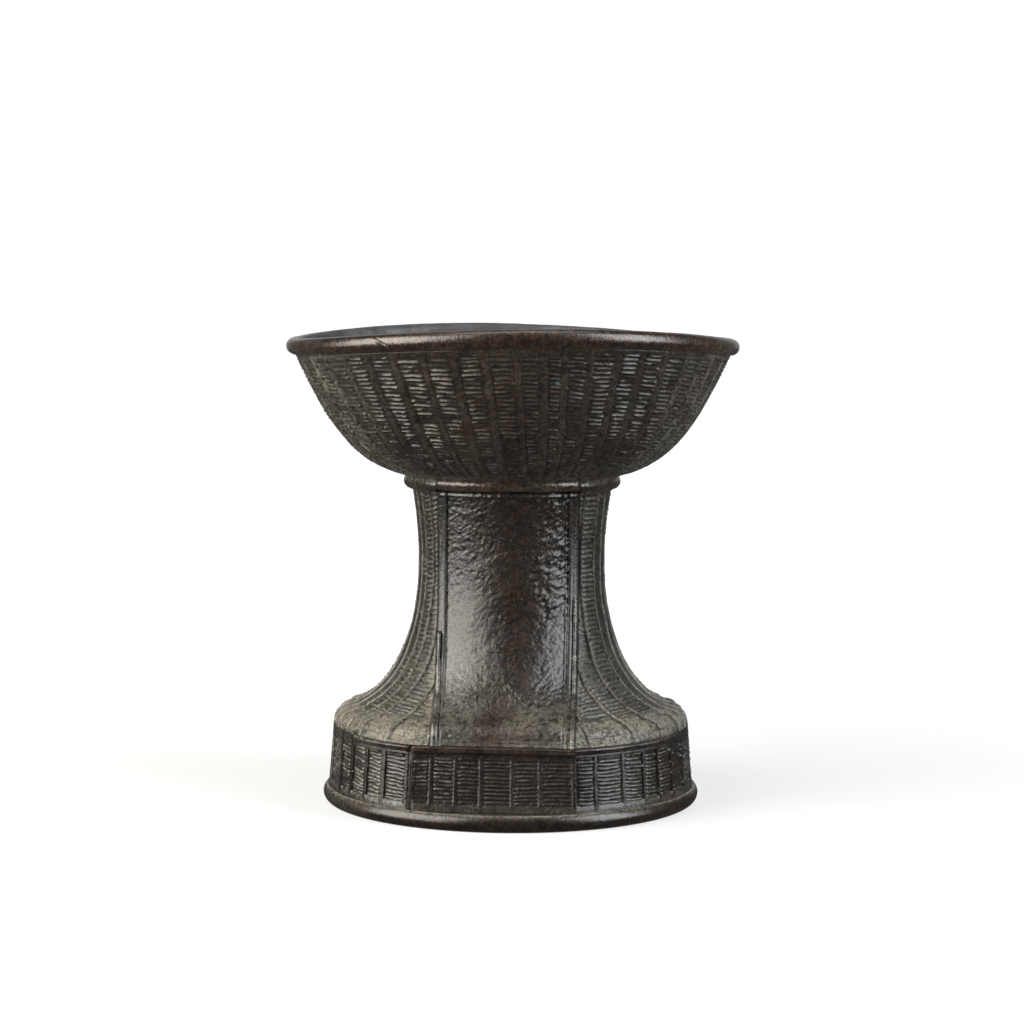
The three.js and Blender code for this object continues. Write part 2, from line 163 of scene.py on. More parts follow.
BOWL = Outline(bezier(BOWL_CURVE))
STEM = Outline(join(bezier(SHOULDER_CURVE), bezier(FLARE_CURVE)))


def noise(places, scale, seed):
    """Smooth noise from -1 to 1 at (..., 3) places, with features of about scale."""
    spot = np.asarray(places, float) / scale + np.array([0.37, 0.71, 0.13]) * (seed + 1)
    cell = np.floor(spot).astype(np.int64)
    part = spot - cell
    part = part * part * (3 - 2 * part)
    total = np.zeros(spot.shape[:-1])
    for corner in itertools.product((0, 1), repeat=3):
        weight = np.prod([part[..., i] if c else 1 - part[..., i] for i, c in enumerate(corner)], 0)
        x, y, z = (cell[..., i] + corner[i] for i in range(3))
        mixed = (x * 73856093) ^ (y * 19349663) ^ (z * 83492791) ^ ((seed + 7) * 2654435761)
        mixed = ((mixed ^ (mixed >> 13)) * 1274126177) & 0xFFFFFFFF
        mixed = (mixed ^ (mixed >> 16)) & 0xFFFF
        total += weight * (mixed / 32767.5 - 1)
    return total


def stack(x, y, z):
    return np.stack(np.broadcast_arrays(x, y, z), -1).astype(float)


def cast_lumps(places, amount=1.0, seed=0):
    """The uneven surface that a sand casting keeps, in millimetres."""
    coarse = 0.14 * noise(places, 11, seed + 1) + 0.07 * noise(places, 4.5, seed + 2)
    return amount * (coarse + 0.035 * noise(places, 1.9, seed + 3))


def on_circle(angle, radius, height):
    """Angle 0 is the front, -Y, and a positive angle turns towards +X."""
    return stack(radius * np.sin(angle), -radius * np.cos(angle), height)


def ridge(offset, width):
    """A round ridge of unit height, width across."""
    return np.sqrt(np.clip(1 - (2 * offset / width) ** 2, 0, 1))


def blunt(margin, width):
    """A rounded end's quarter circle, from 0 at the end to 1 where it is width away."""
    return np.sqrt(1 - (1 - np.clip(margin / width, 0, 1)) ** 2)


def inset_at(height):
    return FACET_INSET * (1 - smooth(DRUM_TOP, DRUM_TOP + FACET_FADE, height))


def on_plan(angle, radius, height):
    """A point of the stem or the drum, which are round with one flat facet."""
    flat = (radius - inset_at(height)) / np.cos(angle - FACET_TURN)
    return on_circle(angle, np.where(flat > 0, np.minimum(radius, flat), radius), height)


def plan_depth(x, radius, height):
    """The plan's front y at a given x."""
    level = np.sqrt(np.maximum(radius * radius - x * x, 0))
    flat = (radius - inset_at(height) - x * math.sin(FACET_TURN)) / math.cos(FACET_TURN)
    return -np.minimum(level, flat)


def flattened(x, run):
    """How far the stem's round shoulder is drawn in where it faces the front, behind the ridge."""
    front = 1 - smooth(38, 66, np.abs(np.asarray(x)))
    return -2.1 * front * smooth(-0.5, 3.2, run) * (1 - smooth(4.5, 15, run))


def warped(places):
    """The rim's shallow saddle, high at the front and back, that fades out down the bowl."""
    out = places.copy()
    climb = np.maximum(0, (out[..., 2] - WARP_START) / (LIP_HEIGHT - WARP_START))
    angle = np.arctan2(out[..., 0], -out[..., 1])
    out[..., 2] += WARP * climb * np.cos(2 * (angle - WARP_TURN))
    return out


# Meshes


def grid_faces(rows, columns, close_rows=False):
    row = np.arange(rows if close_rows else rows - 1)[:, None]
    column = np.arange(columns)[None]
    row, above = row * columns, (row + 1) % rows * columns
    beside = (column + 1) % columns
    corners = (row + column, row + beside, above + beside, above + column)
    return np.stack(np.broadcast_arrays(*corners), -1).reshape(-1, 4)


def new_object(name, data):
    made = bpy.data.objects.new(name, data)
    bpy.context.scene.collection.objects.link(made)
    return made


def new_piece(name, places, faces, marks):
    """A smooth mesh object from points in millimetres. marks are numbers kept at its points."""
    mesh = bpy.data.meshes.new(name)
    mesh.from_pydata((places.reshape(-1, 3) * MM).tolist(), [], faces)
    for mark, values in marks.items():
        layer = mesh.attributes.new(mark, "FLOAT", "POINT")
        layer.data.foreach_set("value", np.asarray(values, np.float32).ravel())
    work = bmesh.new()
    work.from_mesh(mesh)
    bmesh.ops.remove_doubles(work, verts=work.verts, dist=1e-6)
    bmesh.ops.recalc_face_normals(work, faces=work.faces)
    work.to_mesh(mesh)
    work.free()
    mesh.shade_smooth()
    mesh.set_sharp_from_angle(angle=math.radians(60))
    return new_object(name, mesh)


def marks_for(shape, given):
    """rise: 0 on a sunken floor to 1 on what stands up, with painted shade where it is low.
    stroke: 1 on a stroke's crest and on a painted highlight. dust: where dirt lies.
    worn: worn through to red metal. cool: blue-grey patina."""
    marks = {"rise": 0.7, "stroke": 0.0, "dust": 0.0, "worn": 0.0, "cool": 0.0, **given}
    return {mark: np.broadcast_to(value, shape) for mark, value in marks.items()}


def pole_body(name, rings, **given):
    """A closed body of rings, (rings, points, 3), with a point in the middle of each end."""
    rows, columns = rings.shape[:2]
    marks = marks_for((rows, columns), given)
    faces = grid_faces(rows, columns).tolist()
    foot, top = rows * columns, rows * columns + 1
    last = (rows - 1) * columns
    for i in range(columns):
        beside = (i + 1) % columns
        faces.append([foot, beside, i])
        faces.append([top, last + i, last + beside])
    places = join(rings.reshape(-1, 3), [rings[0].mean(0), rings[-1].mean(0)])
    closed = {mark: join(v.ravel(), [v[0, 0], v[-1, 0]]) for mark, v in marks.items()}
    return new_piece(name, places, faces, closed)


def ring_body(name, rings, **given):
    """A closed body whose rings meet end to end."""
    faces = grid_faces(*rings.shape[:2], close_rows=True).tolist()
    return new_piece(name, rings, faces, marks_for(rings.shape[:2], given))


def plate_body(name, outer, inner, **given):
    """A closed plate between an outer and an inner sheet of as many points."""
    rows, columns = outer.shape[:2]
    marks = marks_for((rows, columns), given)
    plain = marks_for((rows, columns), {"rise": 0.3})
    rings = join(outer, inner[:, ::-1], axis=1)
    count = 2 * columns
    faces = grid_faces(rows, count).tolist()
    last = (rows - 1) * count
    for i in range(columns - 1):
        far, near = count - 1 - i, count - 2 - i
        faces.append([i, far, near, i + 1])
        faces.append([last + i, last + i + 1, last + near, last + far])
    both = {mark: join(v, plain[mark], axis=1) for mark, v in marks.items()}
    return new_piece(name, rings, faces, both)


# Basketwork: raised splints with sunken fields between them, and a ladder of strokes in each field

# Height over the section of one stroke, from its foot up, and the columns over one field
STROKE = (0.0, 0.25, 1.0, 0.3)
FIELD_STOPS = (0, 0.08, 0.24, 0.5, 0.76, 0.92, 1)


@dataclass
class Weave:
    """One piece's basketwork, in millimetres and shares. stops: a field's columns. worn_off:
    strokes that are gone. lap: a field's slant. crown: how far a splint's middle stands over
    its edges. line: a painted highlight with worn metal along that middle. wild: how unevenly the
    strokes run."""

    pitch: float
    depth: float
    stroke: float
    bevel: float
    seed: int
    worn_off: float
    stops: tuple = FIELD_STOPS
    lap: float = 0.0
    crown: float = 0.0
    line: float = 0.0
    wild: float = 1.0


def uneven(first, last, count, spread, seed):
    """Angles from first to last in count steps, with each one between them a little astray."""
    stops = np.linspace(first, last, count + 1)
    astray = np.random.default_rng(seed).uniform(-spread, spread, count + 1)
    astray[[0, -1]] = 0
    return stops + astray


class Columns:
    """Columns over the splints at centres, which are angles, and over the fields between them."""

    def __init__(self, centres, halves, radii, weave):
        radii = np.asarray(radii, float)[:, None]
        added = []

        def add(place, depth, side, *cells):
            added.append((place + 0 * radii, depth + 0 * radii, side + 0 * radii, *cells))

        fields = len(centres) - 1
        for i in range(fields):
            narrowest = 0.3 * (centres[i + 1] - centres[i]) * radii
            left, right = np.minimum(halves[i], narrowest), np.minimum(halves[i + 1], narrowest)
            before, after = max(i - 1, 0), min(i + 1, fields - 1)
            for t, share in ((0, 0.5), (0.5, 0.85), (1, 1)):
                add(centres[i] + t * left / radii, (t - 1) * left, -1, i, before, share)
            start, stop = centres[i] + left / radii, centres[i + 1] - right / radii
            span = (stop - start) * radii
            bevel = np.minimum(weave.bevel, span / 5)
            for u in weave.stops:
                offset = bevel + u * (span - 2 * bevel)
                depth = np.minimum(offset, span - offset)
                add(start + offset / radii, depth, 2 * offset / span - 1, i, i, 1)
            for t, share in ((1, 1), (0.5, 0.85)):
                add(centres[i + 1] - t * right / radii, (t - 1) * right, 1, i, after, share)
        add(centres[-1], -halves[-1], 1, fields - 1, fields - 1, 1)
        angle, inside, across, cell, beside, own = zip(*added)
        self.angle, self.inside, self.across = (join(*v, axis=1) for v in (angle, inside, across))
        self.cell, self.beside, self.own = np.array(cell), np.array(beside), np.array(own)

    def per_field(self, values):
        """One value for each column, eased from field to field over the splints."""
        return self.own * values[self.cell] + (1 - self.own) * values[self.beside]


class Rows:
    """Plain rows, then a row for each point of each stroke's section, then plain rows again."""

    def __init__(self, before, start, stop, after, weave, section=STROKE):
        count = max(1, round((stop - start) / weave.pitch))
        steps = count * len(section)
        strokes = start + (stop - start) * (np.arange(steps) + 0.5) / steps
        self.run = join(before, strokes, after)
        lead, tail = np.zeros(len(before)), np.zeros(len(after))
        numbers = np.repeat(np.arange(count), len(section))
        self.stroke = join(lead - 1, numbers, tail - 1)
        self.section = join(lead, np.tile(section, count), tail)
        margin = np.minimum(self.run - start, stop - self.run)
        self.field = smooth(-0.2, 0.5, margin)
        self.free = smooth(0, 3 * weave.pitch, margin)


def basketwork(rows, columns, weave, radii, fade=1.0, more_worn=0.0, lean=0.0):
    """(run, height, rise, stroke) at each row and column. fade is 0 at a border, with no relief.
    lean is how far the strokes climb from a field's middle to its side, in pitches."""
    chance = np.random.default_rng(weave.seed)
    fields = columns.cell.max() + 1
    across, cell = columns.across, columns.cell
    arc = columns.angle * np.asarray(radii)[:, None]
    run = rows.run[:, None] + 0 * arc
    strokes = rows.stroke[:, None] + 0 * arc

    def by_chance(x, y, z, scale, number):
        return noise(stack(x, y, z), scale, weave.seed + number)

    # Each field's strokes start at a height of their own, and lean, arch and sway a little.
    offset = columns.per_field(chance.uniform(-0.5, 0.5, fields))
    tilt = lean + weave.wild * columns.per_field(chance.uniform(-0.12, 0.12, fields))
    arch = weave.wild * columns.per_field(chance.uniform(-0.05, 0.22, fields))
    sway = by_chance(arc, run, cell * 9.7, 9, 0) + 0.5 * by_chance(arc, run, cell * 3.3, 3.2, 1)
    bend = tilt * across + arch * (1 - across**2) + 0.09 * weave.wild * sway
    run = run + weave.pitch * (offset + bend) * rows.free[:, None] * fade

    # Some strokes are worn off, in patches and singly, and the rest have ragged ends and uneven heights.
    patch = by_chance(arc, run, 0 * arc, 15, 2)
    single = by_chance(strokes * 1.7, across * 0.4, cell * 5.1, 1, 3)
    left_over = 0.8 * patch + 0.5 * single + 1.2 * (0.6 - weave.worn_off - more_worn)
    kept = 0.15 + 0.85 * smooth(-0.4, 0.45, left_over)
    ragged = 0.5 + 0.5 * by_chance(strokes * 2.3, across * 0.2, cell * 7.7, 1, 4)
    ends = smooth(0.3, 0.7, columns.inside / (0.5 + 1.3 * ragged))
    strength = 0.8 + 0.3 * weave.wild * by_chance(arc / 2, strokes * 3.1, cell * 1.9, 1, 5)
    breaks = by_chance(arc / 1.6, strokes * 5.3, cell * 4.3, 1, 6)
    strength *= 1 - 0.6 * smooth(0.05, 0.55, breaks)

    sunk = smooth(0, weave.bevel, columns.inside) * rows.field[:, None] * fade
    crest = rows.section[:, None] * kept * ends * strength * sunk
    middle = np.clip(columns.inside / np.minimum(columns.inside.min(), -0.1), 0, 1)
    lap = weave.lap * 0.5 * across * sunk
    height = -weave.depth * sunk + weave.stroke * crest - weave.crown * (1 - middle) * (1 - sunk) + lap
    rise = np.clip(1 - sunk * (1 - 1.15 * crest), 0, 1)
    # A splint's middle is marked as a crest: a painted highlight along its top, with worn metal.
    rubbed_and_highlight = weave.line * np.minimum(1, 1.6 * middle) * fade
    return run, height, rise, np.clip(np.maximum(crest, rubbed_and_highlight), 0, 1)


# Dish

# Middles of the bowl's fields as the photograph shows them at the front, in degrees
LEFT_FIELDS = (-58.9, -49.3, -41.2, -33, -24.5, -16, -8.5, 0.1)
RIGHT_FIELDS = (7.5, 13.1, 18.7, 26.6, 33.6, 41.3, 49.1, 58, 63.4, 71)
BOWL_FIELDS = 44
# How far the fields turn from the rim to the seat
BOWL_TWIST = math.radians(9)
# From the seat up to the fields, and from the groove under the lip down to them
BOWL_FIELD_FOOT = 4.7
BOWL_FIELD_HEAD = 2.2
BOWL_SPLINT_HALVES = (0.9, 1.8)
BOWL_WEAVE = Weave(
    pitch=1.9, depth=0.6, stroke=0.75, bevel=0.5, seed=11,
    worn_off=0.1, lap=0.5, crown=0.3,
)


def bowl_centres():
    """Splint centres all round the bowl: halfway between the fields in front, and even behind."""
    front = np.radians(LEFT_FIELDS + RIGHT_FIELDS)
    seen = (front[1:] + front[:-1]) / 2
    rest = uneven(seen[-1], seen[0] + TURN, BOWL_FIELDS - len(seen) + 1, math.radians(0.7), 5)
    return join(seen, rest[1:])


def make_bowl():
    groove = BOWL.run_at(LIP_HEIGHT - 2 * LIP_BEAD + 0.4)
    foot, top = BOWL.run_at(BOWL_SEAT + BOWL_FIELD_FOOT), groove - BOWL_FIELD_HEAD
    before = [3, 20, 38, 46, foot - 4, foot - 1.2, foot - 0.4]
    after = [top + 0.4, groove - 1.1, groove - 0.7, groove - 0.4, groove, BOWL.length]
    rows = Rows(before, foot, top, after, BOWL_WEAVE)
    centres = bowl_centres()
    radii, _ = BOWL.at(rows.run)
    halves = np.random.default_rng(3).uniform(*BOWL_SPLINT_HALVES, len(centres))
    halves[-1] = halves[0]
    columns = Columns(centres, halves, radii, BOWL_WEAVE)
    turned = np.degrees(columns.angle)
    more_worn = 0.75 * smooth(44, 56, -turned) * (turned > -80)
    more_worn += 0.45 * smooth(60, 68, turned) * (turned < 80)
    run, height, rise, crest = basketwork(rows, columns, BOWL_WEAVE, radii, more_worn=more_worn)
    # The band under the lip bead is sunk and darkened as painted shade, and the thin raised line below
    # it is marked as a crest, a painted highlight.
    near = smooth(-0.9, 0, run - groove)
    line = bell(run - groove, -0.75, 0.3)
    height = height + 0.15 * line - 0.35 * near
    rise, crest = rise * (1 - near), np.maximum(crest, 0.6 * line)
    angle = columns.angle + BOWL_TWIST * (1 - run / BOWL.length) ** 1.3
    rough = on_circle(angle, *BOWL.at(run))
    pits = smooth(0.2, 0.7, noise(rough, 1.6, 12)) * (0.12 + 0.2 * more_worn)
    radius, level = BOWL.at(run, height + cast_lumps(rough, 1.0) - pits)
    outer = warped(on_circle(angle, radius, level))[:, :-1]
    inside_runs = np.linspace(BOWL.length, 3, 14)
    radius, level = BOWL.at(inside_runs, -BOWL_WALL)
    inner = warped(on_circle(angle[-1][None, :-1], radius[:, None], level[:, None]))
    inner[..., 2] += 0.12 * noise(inner, 26, 31)

    def with_inside(outside, inside=0.0):
        return join(outside[:, :-1], np.full(inner.shape[:2], inside))

    low = with_inside(1 - smooth(0, 26, run - foot))
    sides = with_inside(smooth(35, 70, np.abs(np.degrees(angle) - 5)))
    middle = bell(with_inside(angle), -0.05, 0.6)
    return pole_body(
        "bowl",
        join(outer, inner),
        rise=0.3 + 0.7 * with_inside(rise, 0.35),
        stroke=with_inside(crest),
        dust=0.35 + 0.3 * low + 1.2 * sides,
        worn=(0.15 + 0.6 * middle) * (1 - 0.6 * low),
        cool=with_inside(0 * crest, 1.0),
    )


# Where the lip's strip laps over its own end
LAP_MARK = math.radians(-29.8)


def make_lip():
    """A rolled bead round the mouth, open underneath where the bowl's edge stands in it."""
    centre = np.array([LIP_RADIUS - LIP_BEAD, LIP_HEIGHT - LIP_BEAD])
    rebate = RIM_HEIGHT + SEAM
    skirt, _ = BOWL.at(BOWL.run_at(LIP_HEIGHT - 2 * LIP_BEAD), SEAM)
    start = -math.acos((skirt - centre[0]) / LIP_BEAD)
    stop = math.pi + math.asin((centre[1] - rebate) / LIP_BEAD)
    arc = np.linspace(start, stop, 56)
    ceiling, _ = BOWL.at(BOWL.length, SEAM)
    even = np.linspace(-math.pi, math.pi, 400, endpoint=False)
    angles = np.unique(join(even, LAP_MARK + np.linspace(-0.06, 0.06, 61)))
    angle, turn = np.meshgrid(angles, arc)
    spots = stack(95 * np.sin(angle), 95 * np.cos(angle), 6 * turn)
    swell = 0.10 * noise(spots, 14, 41) + 0.05 * noise(spots, 4, 42)
    along = (angle - LAP_MARK) * LIP_RADIUS + 6.0 * (turn - 0.1)
    mark = bell(turn, 0.1, 0.4)
    crease = bell(along, 0, 0.45) * mark
    beside = smooth(-3.0, 0, along) * (along < 0) * mark
    bead = LIP_BEAD - 0.15 + swell - 0.55 * crease + 0.5 * beside
    radius, level = centre[0] + bead * np.cos(turn), centre[1] + bead * np.sin(turn)
    corner = on_circle(angles[None], np.full((1, len(angles)), ceiling + SEAM), rebate)
    rings = join(on_circle(angle, radius, level), corner)
    inside = join(smooth(1.75, 2.2, turn), np.ones((1, len(angles))))
    sides = smooth(45, 80, np.abs(np.degrees(angles)) % 180)[None] * (1 - inside)
    dust = 0.9 * sides
    return ring_body("lip", warped(rings), rise=0.8, worn=1 - inside, cool=inside, dust=dust)


# Stem

# Ridges that the photograph shows, in degrees out from the front, the first under the tablet's edge
LEFT_RIDGES = (20, 24, 34, 44, 53, 62, 71)
RIGHT_RIDGES = (22, 27, 38, 50, 64, 74)
BACK_RIDGE_STEP = 10.5
RIDGE_HALF = 0.7
# The shoulder's mean radius, and how far the ridges swing outwards as they run down to it
SHOULDER_RADIUS = 77.0
SHOULDER_SWING = math.radians(9)
STEM_WEAVE = Weave(
    pitch=2.05, depth=0.5, stroke=0.85, bevel=0.35, seed=23,
    worn_off=0.0, lap=0.3, crown=0.75, line=1.0, wild=0.8,
)


def stem_centres(side):
    """Ridge angles from the tablet to the back seam, as seen in front and even behind."""
    ridges = RIGHT_RIDGES if side > 0 else LEFT_RIDGES
    seen = np.radians(ridges)
    steps = round((180 - ridges[-1]) / BACK_RIDGE_STEP)
    rest = uneven(seen[-1], math.pi - CLOSED / NECK_RADIUS, steps, 0.02, 8)
    return join(seen, rest[1:])


def make_stem_wall(name, side):
    foot = STEM.run_at(DRUM_TOP + 9.5)
    top = STEM.run_at(BOWL_SEAT - 2.5)
    before = np.linspace(0, foot - 0.4, 22)
    after = [top + 0.5, STEM.run_at(BOWL_SEAT - 0.4)]
    rows = Rows(before, foot, top, after, STEM_WEAVE)
    radii, _ = STEM.at(rows.run)
    centres = stem_centres(side)
    columns = Columns(centres, np.full(len(centres), RIDGE_HALF), radii, STEM_WEAVE)
    reach = radii[:, None] * np.sin(columns.angle)
    ahead = np.cos(columns.angle) > 0
    seam_gap = (math.pi - columns.angle) * radii[:, None]
    fade = np.where(ahead, smooth(0, 1.6, reach - SLOT_HALF), 1) * smooth(0.2, 1.2, seam_gap)
    turned = np.degrees(columns.angle)
    more_worn = 0.9 * smooth(60, 68, turned) * (1 - smooth(86, 92, turned))
    more_worn *= smooth(6, 30, rows.run)[:, None]
    run, height, rise, crest = basketwork(rows, columns, STEM_WEAVE, radii, fade, more_worn)
    swing = SHOULDER_SWING * smooth(20, 42, turned) * (1 - smooth(62, 95, turned))
    angle = side * (columns.angle + swing * (1 - smooth(4, 46, run)))

    # A ridge has a thin groove beside it, painted dark as a shadow line, and both are bold on the
    # shoulder and faint above it.
    bold = 1 - 0.75 * smooth(28, 62, run)
    on_ridge = columns.inside < 0
    beside = bell(columns.inside, 0.3, 0.35) * fade * (columns.across > 0) * bold
    height = np.where(on_ridge, height * (0.4 + 0.6 * bold), height) - 0.35 * beside
    height *= 0.5 + 0.5 * smooth(1, 9, run)
    crest = np.where(on_ridge, crest * bold, crest)
    rough = on_circle(angle, *STEM.at(run))
    pits = smooth(0.25, 0.7, noise(rough, 1.7, 54)) + 0.7 * smooth(0.2, 0.7, noise(rough, 3.1, 55))
    pits *= 1 - 0.8 * smooth(foot, foot + 12, run)
    bumps = (cast_lumps(rough, 1.4, 50) - 0.4 * pits) * fade * smooth(0, 2, rows.run)[:, None]
    draw = flattened(SHOULDER_RADIUS * np.sin(angle), run) * (np.cos(angle) > 0)

    def sheet(outwards):
        radius, level = STEM.at(run, outwards + draw)
        places = on_plan(angle, radius, level)
        short = ahead & (side * places[..., 0] < SLOT_HALF)
        border = side * SLOT_HALF
        places[..., 0] = np.where(short, border, places[..., 0])
        places[..., 1] = np.where(short, plan_depth(border, radius, level), places[..., 1])
        return places

    outer, inner = sheet(height + bumps), sheet(-STEM_WALL)
    low = 1 - smooth(8, 60, run)
    dust = (0.95 + 0.85 * low - 1.1 * pits) * (0.85 if side > 0 else 1.0)
    # The ridges' tops low on the stem in front are marked as crests: a painted highlight along them.
    ridge_highlight = np.clip(columns.inside / -0.35, 0, 1) * (1 - smooth(14, 40, run)) * ahead
    return plate_body(
        name,
        outer[:, ::side],
        inner[:, ::side],
        # Rise and dust are taken away beside each ridge, so a black shadow line is painted there.
        rise=(rise * (1 - beside))[:, ::side],
        stroke=np.maximum(crest, ridge_highlight * fade)[:, ::side],
        dust=(dust * (1 - beside))[:, ::side],
        worn=0.1,
    )


# Tablet

# Width of the frame's outer roll and where its inner line runs
FRAME_ROLL = 2.3
FRAME_LINE = 26.2
# Heights up to which the two rolls stand proud
ROLL_TOPS = (77.0, 92.0)


def make_tablet():
    half = TABLET_HALF
    edge = np.array([0, 0.25, 0.6, 1.1, 1.7, 2.1, 2.4, 2.9, 3.3, 3.6, 3.85, 4.1, 4.4, 4.8])
    inner_x = np.linspace(-(half - 5.3), half - 5.3, 130)
    xs = join(-half + edge, inner_x, half - edge[::-1])
    top_run = STEM.run_at(BAND_FOOT - SEAM)
    runs = join(np.linspace(0, 4, 14)[:-1], np.linspace(4, top_run, 270))
    x, run = np.meshgrid(xs, runs)
    _, level = STEM.at(run)
    roll_top = np.where(x < 0, *ROLL_TOPS)
    strong = 1 - smooth(roll_top - 1.2, roll_top + 0.6, level)
    edge_gap = half - np.abs(x)
    wide = FRAME_ROLL + 1.2 * (1 - smooth(40, 72, level)) * (x < 0)
    roll = ridge(edge_gap - wide / 2, wide) * (0.28 + 0.85 * strong)
    roll *= 1 + (0.25 + 0.2 * (x < 0)) * noise(stack(x, 0 * x, run), 5, 61)
    line = ridge(np.abs(x) - FRAME_LINE, 0.75) * 0.45
    line += ridge(np.abs(x) - FRAME_LINE + 1.35, 0.6) * 0.28 * (x > 0)
    base = ridge(level - (DRUM_TOP + 2.2), 0.9) * 0.4 * (np.abs(x) < FRAME_LINE)
    head = ridge(level - (BAND_FOOT - 1.9), 1.0) * 0.4 * (np.abs(x) < half - 1.5)
    in_frame = smooth(0, 0.8, FRAME_LINE - np.abs(x))
    places = stack(x, 0 * x, run)
    lumps = 0.40 * noise(places, 13, 62) + 0.09 * noise(places, 3.4, 63) + 0.06 * noise(places, 1.5, 64)
    low = 1 - smooth(38, 80, level)
    high = smooth(92, 110, level)
    right = smooth(5, 15, x) * (1 - 0.5 * bell(level, 70, 14))
    middle = bell(x, 5, 13)
    slanted = stack(0.45 * (0.8 * x + 0.6 * run), 0 * x, 0.8 * run - 0.6 * x)
    crumple = 0.15 * noise(slanted, 1.3, 65) + 0.14 * noise(slanted, 0.75, 66)
    upper = smooth(62, 88, level)
    crumpled = np.maximum((0.25 + 0.65 * upper) * middle, right * (1.1 + 0.7 * upper))
    crumple *= np.clip(np.maximum(0.55 * high, crumpled), 0.15, 1.8)
    grit = (0.03 + 0.08 * np.maximum(np.maximum(low, high), right)) * noise(places, 0.8, 68)
    pits = 0.08 * smooth(0.3, 0.75, noise(places, 1.5, 67))
    field = in_frame * (lumps * 0.8 + (crumple + grit - pits) * smooth(12, 40, run) - 0.3)
    height = TABLET_PROUD + roll + line + base + head + field
    border = smooth(0, 0.3, edge_gap)
    height = height * border + (1 - border) * 0.3

    def sheet(outwards):
        radius, lift = STEM.at(run, outwards + flattened(x, run))
        return stack(x, plan_depth(x, radius, lift), lift)

    outer = sheet(height)
    outer[0, :, 2] = DRUM_TOP + SEAM
    inner = sheet(-STEM_WALL)
    rise = np.clip(0.35 + 0.6 * (roll + line) + 0.5 * lumps, 0, 1)
    streak = bell(x + 6 - 9 * smooth(40, 60, level), 0, 8)
    rightward = smooth(-4, 8, x)
    settled = low * (1 - rightward) + (1 - smooth(36, 58, level)) * rightward
    # Dust all over, with a pale painted sheen added over the upper left.
    dust_and_sheen = 0.1 + 0.35 * upper * (1 - smooth(-10, 2, x))
    dust = np.clip(settled * (1 - 0.95 * streak) + dust_and_sheen, 0, 1) * (1 - 0.8 * np.clip(roll, 0, 1))
    worn = np.clip(np.maximum(0.9 * middle, 1.4 * streak * low), 0, 1.3)
    # The frame's rolls and lines are marked as crests, a painted highlight along them.
    painted_highlight = np.clip(roll * (0.75 + 0.7 * noise(places, 2.6, 69)) + 0.5 * line, 0, 1)
    return plate_body("tablet", outer, inner, rise=rise, stroke=painted_highlight, dust=dust, worn=worn)


# Collar


def make_collar_bead():
    """The bead round the sides and back of the neck, with a blunt end on each side in front."""
    turn = np.linspace(0, TURN, 20, endpoint=False)
    across, up = np.cos(turn), np.sin(turn)
    share = np.linspace(0, 1, 220)
    angles = TURN * share
    ends = math.asin((SLOT_HALF + 0.1) / NECK_RADIUS)
    margin = np.minimum(share, 1 - share) * (TURN - 2 * ends) * NECK_RADIUS
    round_end = blunt(margin, 0.9) * 0.12 + 0.88
    swell = 1 + 0.05 * noise(stack(40 * np.sin(angles), 40 * np.cos(angles), 0), 9, 71)
    size = (COLLAR_BEAD - 0.15) * round_end * swell
    radius = COLLAR_CENTRE[0] + size[:, None] * across
    level = COLLAR_CENTRE[1] + size[:, None] * up * 0.92
    cut = np.arcsin(SLOT_HALF / radius)
    rings = on_circle(cut + (TURN - 2 * cut) * share[:, None], radius, level)
    dust = 0.5 + 0.9 * (up[None] > 0.3)
    return pole_body("collar_roll", rings, rise=0.8, worn=0.3, dust=dust)


def make_collar_band():
    """The smooth roll over the tablet, between the ends of the bead."""
    turn = np.linspace(-0.62 * math.pi, 0.62 * math.pi, 26)
    middle = BAND_FOOT + 3.0
    inner = NECK_RADIUS + 0.2
    half = TABLET_HALF + 0.04
    xs = np.linspace(-half, half, 130)
    size = (0.86 + 0.14 * blunt(half - np.abs(xs), 1.0))[:, None]
    size = size * (1 + 0.05 * noise(stack(xs, 0, 0), 8, 72))[:, None]
    out = inner + 1.1 + 2.9 * size * np.cos(turn)[None]
    level = middle + 2.85 * size * np.sin(turn)[None]
    back = np.full((len(xs), 1), inner - 0.6)
    radius = join(out, back, back, axis=1)
    level = join(level, level[:, -1:], level[:, :1], axis=1)
    x = xs[:, None] + 0 * radius
    rings = stack(x, -np.sqrt(radius**2 - x**2), level)
    rings[..., 1] -= (cast_lumps(rings, 1.2, 73) + 0.12 * noise(rings, 1.4, 76)) * (radius > inner)
    # The band's upper side is marked as a crest, a painted highlight broken up by noise.
    upper = join(bell(turn, 0.5, 0.35), [0, 0])[None]
    painted_highlight = upper * smooth(-0.3, 0.4, noise(stack(xs, 0, 0), 3.0, 77))[:, None]
    painted_highlight *= 0.3 + 0.7 * smooth(-0.3, 0.3, noise(rings, 1.1, 78))
    return pole_body("collar_front", rings, rise=0.85, worn=1.0, dust=0.55, stroke=0.9 * painted_highlight)


# Drum

DRUM_STROKE = (0.0, 0.5, 1.0, 1.0, 0.5)
DRUM_STOPS = (0, 0.08, 0.22, 0.4, 0.6, 0.78, 0.92, 1)
DRUM_WEAVE = Weave(
    pitch=1.58, depth=0.8, stroke=0.9, bevel=0.4, stops=DRUM_STOPS, seed=37,
    worn_off=0.1, wild=1.3,
)
# Middles of the splints: shares of the way across the facet, and degrees on the side walls
FACET_SPLINTS = (0.0, 0.126, 0.275, 0.43, 0.62, 0.79, 1.0)
RIGHT_SPLINTS = (29.8, 39.9, 48.5, 55.5, 63.7, 72.7)
LEFT_SPLINTS = (-64.3, -56.5, -48.1, -40.0)


